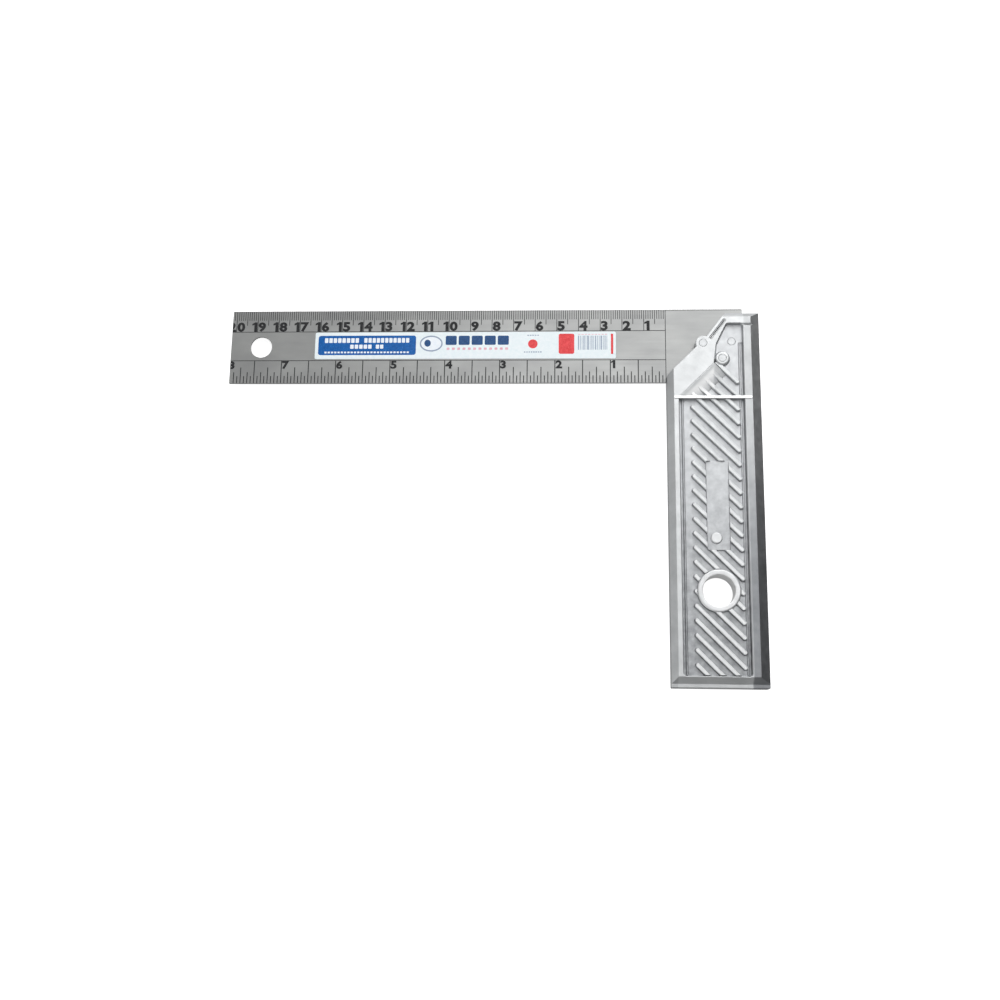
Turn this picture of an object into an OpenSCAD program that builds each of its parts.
// Try square, 200 mm (8 in): a graduated steel blade held at a right angle
// in a die-cast zinc alloy stock by three flush rivets.
// Origin: the inner corner, at the middle of the thickness. The blade runs
// along -X, the stock hangs along -Y, +X points into the stock, +Z is the front.
// Both faces of the stock are the same, apart from the mould line on the front.

/* [Blade] */
// Length of blade that stands clear of the stock
blade_reach = 202; // [150:1:320]
// Width of the blade across its two ruled edges
blade_w = 35.5; // [34:0.5:38]
// Thickness of the blade
blade_t = 1.0; // [0.8:0.1:1.6]
// Length of the tail inside the stock
blade_tail = 35; // [34:0.5:36]
// Diameter of the hanging hole in the blade
blade_hole_d = 10; // [6:0.5:14]
// Distance from the hole's centre to the blade's free end
blade_hole_inset = 14.2; // [10:0.2:20]

/* [Label] */
// Length of the adhesive label
label_l = 139.6; // [60:0.2:142]
// Height of the adhesive label
label_w = 13.0; // [8:0.5:13.5]
// Thickness of the label film
label_t = 0.12; // [0.08:0.02:0.3]
// Gap between the label and the stock's working face
label_gap = 22.8; // [10:0.2:26]
// Height of the label's lower edge above the blade's inner edge
label_y = 11.8; // [11:0.1:13]

/* [Stock] */
// Width of the stock
stock_w = 42; // [41:0.5:46]
// Thickness of the stock over its rails
stock_t = 12; // [11:0.5:14]
// Length of the stock below the blade's inner edge
stock_drop = 137.6; // [130:0.2:150]
// How far the head rises above the blade's inner edge
head_rise = 32.5; // [31:0.5:33]
// Height of all the stock's bevels
bevel_h = 3.0; // [2:0.1:3.4]
// Width of the bevel along the working face, and at the head and foot
inner_bevel_w = 2.8; // [2:0.1:3]
// Width of the bevel along the outer face
outer_bevel_w = 4.2; // [3:0.1:4.4]
// Width of the lip left below the bevel at the foot
foot_lip = 1.8; // [0.6:0.1:3]
// Width of the flat rail beside the working face
inner_rail_w = 2.4; // [2:0.1:2.6]
// Width of the flat rail beside the outer face
outer_rail_w = 3.6; // [3:0.1:3.8]
// Width of the foot's rail between the panel and the bevel
foot_rail = 0.4; // [0.3:0.1:2]
// Depth of the recessed panel below the rails
panel_depth = 2.2; // [1.6:0.1:3]
// Diameter of the hanging hole in the stock
stock_hole_d = 14; // [8:0.2:14]
// Height of the hanging hole's centre, measured down the stock
stock_hole_y = -95.8; // [-100:0.2:-92]
// Outer diameter of the ring around the hanging hole
ring_d = 19; // [18:0.5:20]

/* [Ribs] */
// Distance from one diagonal rib to the next, down the stock
rib_pitch = 6.4; // [5.6:0.1:9]
// Width of a rib
rib_w = 2.2; // [1.4:0.1:2.8]
// Height of the ribs, ring and name plate above the panel
rib_h = 1.5; // [0.6:0.1:1.6]

/* [Rivets] */
// Diameter of the flush rivets
rivet_d = 3.6; // [2.5:0.1:4]

/* [Hidden] */
$fn = 64;

half_t = stock_t / 2;
floor_z = half_t - panel_depth;
relief_z = floor_z + rib_h;

// How deep raised details are rooted in the metal below them
skin = 0.2;

// Plan of the head: the mitred shoulder starts just above the inner corner,
// climbs at 45 degrees, then a little steeper to the end of the stock.
shoulder_start = 2.4;
shoulder_bend_x = 17.4;
shoulder_bend_y = shoulder_start + shoulder_bend_x;
shoulder_top_x = 26.9;

// Panel limits
head_rail = 3.2;
panel_x0 = inner_bevel_w + inner_rail_w;
panel_x1 = stock_w - outer_bevel_w - outer_rail_w;
panel_y0 = -stock_drop + foot_lip + inner_bevel_w + foot_rail;
panel_top_y = head_rise - inner_bevel_w - head_rail;
panel_corner = 1.6;

// In the head the panel stops short of the shoulder, along these corners
panel_low = [21.2, 7.6];
panel_mid = [22.4, 16.9];
panel_high_x = 27.1;

// Ramp that carries the panel's floor up to the mitred part of the shoulder
ramp_w = 9;

// Groove that parts the head's rail from the panel and runs out over the outer bevel
head_groove_w = 0.7;
head_groove_d = 0.6;
head_groove_x1 = stock_w - 2.4;

// Groove along the steeper part of the shoulder
shoulder_groove_w = 1.2;
shoulder_groove_d = 0.5;
shoulder_groove_inset = 1.4;
shoulder_groove_start = 0.6;
shoulder_groove_short = 4;

// Raised mould line across the front of the stock, below the head
line_y = -8.5;
line_w = 1.3;
line_h = 0.3;

// Groove and lip that edge the panel
groove_w = 1.0;
groove_d = 0.5;
lip_w = 1.0;
lip_h = 0.5;
edge_top_y = 18;

// Ribs run between these two lines, from the foot of the panel to the head
rib_x0 = 11.2;
rib_x1 = 31.4;
rib_run = rib_x1 - rib_x0;
rib_foot_y = panel_y0 + 1.0;
rib_first_y = panel_y0 + 4.6;
rib_last_y = 20;
rib_count = floor((rib_last_y - rib_first_y) / rib_pitch);

// Corners of the ribs' field in the head
field_low = [12.4, -2.2];
field_high = [26.6, 12.4];
field_top_y = 7;

// Plain name plate in the panel
plate_x = 21.4;
plate_y = -57.9;
plate_w = 10;
plate_l = 40.2;
plate_h = 0.7;
plate_boss_d = 5;
plate_boss_x = 20.4;
plate_boss_y = -72.6;

// Rivets: the first sits in a round boss that shows past the shoulder
shoulder_rivet = [16.3, 17.2];
inner_rivet = [24.9, 10.2];
outer_rivet = [29.4, 18.6];
boss_d = 7.0;
pad_d = 7.0;

// Clear space around the details that interrupt the ribs
clearance = 0.6;

module stock_plan() {
    polygon([
        [0, -stock_drop],
        [0, shoulder_start],
        [shoulder_bend_x, shoulder_bend_y],
        [shoulder_top_x, head_rise],
        [stock_w, head_rise],
        [stock_w, -stock_drop]
    ]);
}

// Cross-section over the width: a steep bevel at the working face, a wider one outside
module width_section() {
    a = inner_bevel_w;
    b = stock_w - outer_bevel_w;
    side_z = half_t - bevel_h;
    polygon([
        [0, -side_z], [a, -half_t], [b, -half_t], [stock_w, -side_z],
        [stock_w, side_z], [b, half_t], [a, half_t], [0, side_z]
    ]);
}

// Section along the length: bevelled at the head, bevelled above a lip at the foot
module length_section() {
    foot = -stock_drop;
    lip = foot + foot_lip;
    low = lip + inner_bevel_w;
    top = head_rise;
    high = top - inner_bevel_w;
    side_z = half_t - bevel_h;
    polygon([
        [foot, -side_z], [lip, -side_z], [low, -half_t], [high, -half_t], [top, -side_z],
        [top, side_z], [high, half_t], [low, half_t], [lip, side_z], [foot, side_z]
    ]);
}

module stock_blank() {
    length = stock_drop + head_rise;
    intersection() {
        translate([0, 0, -half_t])
            linear_extrude(stock_t)
                stock_plan();
        translate([0, head_rise + 1, 0])
            rotate([90, 0, 0])
                linear_extrude(length + 2)
                    width_section();
        translate([-1, 0, 0])
            rotate([90, 0, 90])
                linear_extrude(stock_w + 2)
                    length_section();
    }
}

// The recessed panel: straight down the stock, and cut back along the shoulder in the head
module panel_plan() {
    polygon([
        [panel_x0, panel_y0],
        [panel_x0, line_y],
        panel_low,
        panel_mid,
        [panel_high_x, panel_top_y],
        [panel_x1 - panel_corner, panel_top_y],
        [panel_x1, panel_top_y - panel_corner],
        [panel_x1, panel_y0]
    ]);
}

// The part of the panel that carries ribs
module rib_field() {
    left = rib_x0 - rib_w / 2;
    right = rib_x1 + rib_w / 2;
    polygon([
        [left, rib_foot_y - clearance],
        [left, line_y],
        field_low,
        panel_low,
        field_high,
        [right, field_top_y],
        [right, rib_foot_y - clearance]
    ]);
}

// One rib with round ends, from its upper left end down at 45 degrees
module rib_bar(x, y, run) {
    translate([x, y])
        rotate(-45) {
            translate([0, -rib_w / 2])
                square([run * sqrt(2), rib_w]);
            circle(d = rib_w);
            translate([run * sqrt(2), 0])
                circle(d = rib_w);
        }
}

module ribs_plan() {
    difference() {
        intersection() {
            rib_field();
            for (i = [0 : rib_count]) {
                y = rib_first_y + i * rib_pitch;
                rib_bar(rib_x0, y, min(rib_run, y - rib_foot_y));
            }
        }
        translate([plate_x, plate_y])
            square([plate_w + clearance, plate_l + clearance], center = true);
        translate([stock_w / 2, stock_hole_y])
            circle(d = ring_d + clearance);
        translate(inner_rivet)
            circle(d = pad_d + clearance);
    }
}

// Everything sunk into one face
module face_cuts() {
    translate([0, 0, floor_z])
        linear_extrude(panel_depth + 1)
            panel_plan();
    translate([panel_x0, panel_y0, floor_z - groove_d])
        cube([groove_w, line_y - panel_y0, 1]);
    translate([panel_x1 - groove_w, panel_y0, floor_z - groove_d])
        cube([groove_w, edge_top_y - panel_y0, 1]);
    translate([panel_high_x, panel_top_y - head_groove_w, half_t - head_groove_d])
        cube([head_groove_x1 - panel_high_x, head_groove_w, 1]);
    shoulder_groove();
}

// Shallow groove along the upper part of the shoulder's rail
module shoulder_groove() {
    run = [shoulder_top_x - shoulder_bend_x, head_rise - shoulder_bend_y];
    translate([shoulder_bend_x, shoulder_bend_y, half_t - shoulder_groove_d])
        rotate(atan2(run[1], run[0]))
            translate([shoulder_groove_start, -shoulder_groove_inset - shoulder_groove_w, 0])
                cube([norm(run) - shoulder_groove_short, shoulder_groove_w, 1]);
}

// Ramp from the panel's floor up to the mitred part of the shoulder, above the mould line
module shoulder_ramp() {
    run = panel_low - [panel_x0, line_y];
    low = floor_z - skin;
    intersection() {
        translate([panel_x0, line_y, 0])
            rotate(atan2(run[1], run[0]))
                rotate([90, 0, 90])
                    linear_extrude(norm(run))
                        polygon([[skin, low], [skin, half_t], [0, half_t], [-ramp_w, low]]);
        translate([0, line_y, 0])
            cube([panel_x1, head_rise, half_t]);
    }
}

// Everything raised from the panel's floor on one face
module face_relief() {
    translate([0, 0, floor_z - skin])
        linear_extrude(rib_h + skin)
            ribs_plan();
    translate([0, 0, floor_z - skin]) {
        translate([panel_x0 + groove_w, panel_y0, 0])
            cube([lip_w, line_y - panel_y0, lip_h + skin]);
        translate([panel_x1 - groove_w - lip_w, panel_y0, 0])
            cube([lip_w, edge_top_y - panel_y0, lip_h + skin]);
        translate([stock_w / 2, stock_hole_y, 0])
            cylinder(d = ring_d, h = rib_h + skin);
        translate([plate_x - plate_w / 2, plate_y - plate_l / 2, 0])
            cube([plate_w, plate_l, plate_h + skin]);
        translate([plate_boss_x, plate_boss_y, 0])
            cylinder(d = plate_boss_d, h = rib_h + skin);
        translate([inner_rivet[0], inner_rivet[1], 0])
            cylinder(d = pad_d, h = rib_h + skin);
    }
    shoulder_ramp();
}

// Rooted below the grooves, so that it closes their upper ends
module mould_line() {
    low = floor_z - groove_d - skin;
    translate([inner_bevel_w, line_y - line_w / 2, low])
        cube([stock_w - inner_bevel_w - outer_bevel_w, line_w, half_t + line_h - low]);
}

module rivet_hole(at) {
    translate([at[0], at[1], -half_t - 1])
        cylinder(d = rivet_d, h = stock_t + 2);
}

module stock() {
    color("silver")
        difference() {
            union() {
                difference() {
                    stock_blank();
                    face_cuts();
                    mirror([0, 0, 1])
                        face_cuts();
                }
                face_relief();
                mirror([0, 0, 1])
                    face_relief();
                mould_line();
                translate([shoulder_rivet[0], shoulder_rivet[1], -half_t])
                    cylinder(d = boss_d, h = stock_t);
            }
            translate([-1, 0, -blade_t / 2])
                cube([blade_tail + 1, head_rise + 1, blade_t]);
            translate([stock_w / 2, stock_hole_y, -half_t])
                cylinder(d = stock_hole_d, h = stock_t);
            rivet_hole(shoulder_rivet);
            rivet_hole(inner_rivet);
            rivet_hole(outer_rivet);
        }
}

module blade() {
    color("lightgray")
        difference() {
            translate([-blade_reach, 0, -blade_t / 2])
                cube([blade_reach + blade_tail, blade_w, blade_t]);
            translate([-blade_reach + blade_hole_inset, blade_w / 2, -blade_t])
                cylinder(d = blade_hole_d, h = 2 * blade_t);
            rivet_hole(shoulder_rivet);
            rivet_hole(inner_rivet);
            rivet_hole(outer_rivet);
        }
}

// A rivet dressed flush at both ends; half_h is half its length
module rivet(at, half_h) {
    color("gray")
        translate([at[0], at[1], -half_h])
            cylinder(d = rivet_d, h = 2 * half_h);
}

module rivet_shoulder() {
    rivet(shoulder_rivet, half_t);
}

module rivet_inner() {
    rivet(inner_rivet, relief_z);
}

module rivet_outer() {
    rivet(outer_rivet, floor_z);
}

module label() {
    color("white")
        translate([-label_gap - label_l, label_y, blade_t / 2])
            cube([label_l, label_w, label_t]);
}

stock();
blade();
rivet_shoulder();
rivet_inner();
rivet_outer();
label();
